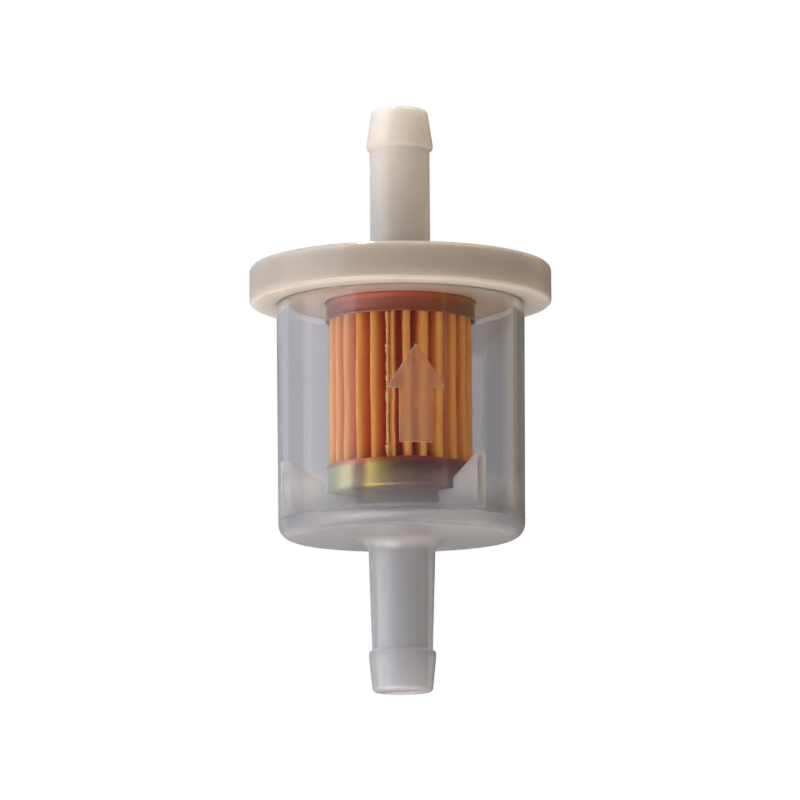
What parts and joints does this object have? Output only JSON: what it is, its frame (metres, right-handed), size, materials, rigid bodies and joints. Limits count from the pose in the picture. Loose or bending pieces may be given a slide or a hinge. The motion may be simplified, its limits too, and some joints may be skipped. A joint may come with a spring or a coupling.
{
  "type": "fuel filter",
  "caption": "In-line fuel filter with a see-through bowl, a flanged cap, barbed hose nipples and a pleated paper element",
  "frame": {"origin": "centre of the inlet nipple's mouth, the lowest point of the filter", "axes": "+Z from the inlet to the outlet, the way the fuel flows; -Y is the front, where the moulded arrow is"},
  "size_m": [0.0336, 0.0336, 0.0653],
  "materials": {
    "clear_nylon": "smooth moulded, see-through with a grey haze",
    "cream_nylon": "smooth moulded, milky cream",
    "nitrile_rubber": "matt black",
    "yellow_zinc_steel": "zinc plate with yellow chromate, iridescent",
    "plastisol": "poured and cured, dull",
    "resin_paper": "orange resin-treated paper, matt",
    "seam_adhesive": "uneven bead",
    "bright_steel": "bright tinned sheet"
  },
  "bodies": {
    "root": {"bowl": "clear_nylon", "cap": "cream_nylon", "outlet_grommet": "nitrile_rubber", "upper_end_cap": "yellow_zinc_steel", "upper_potting": "plastisol", "pleated_medium": "resin_paper", "seam_glue": "seam_adhesive", "core_tube": "bright_steel", "lower_potting": "plastisol", "lower_end_cap": "yellow_zinc_steel"}
  },
  "joints": []
}
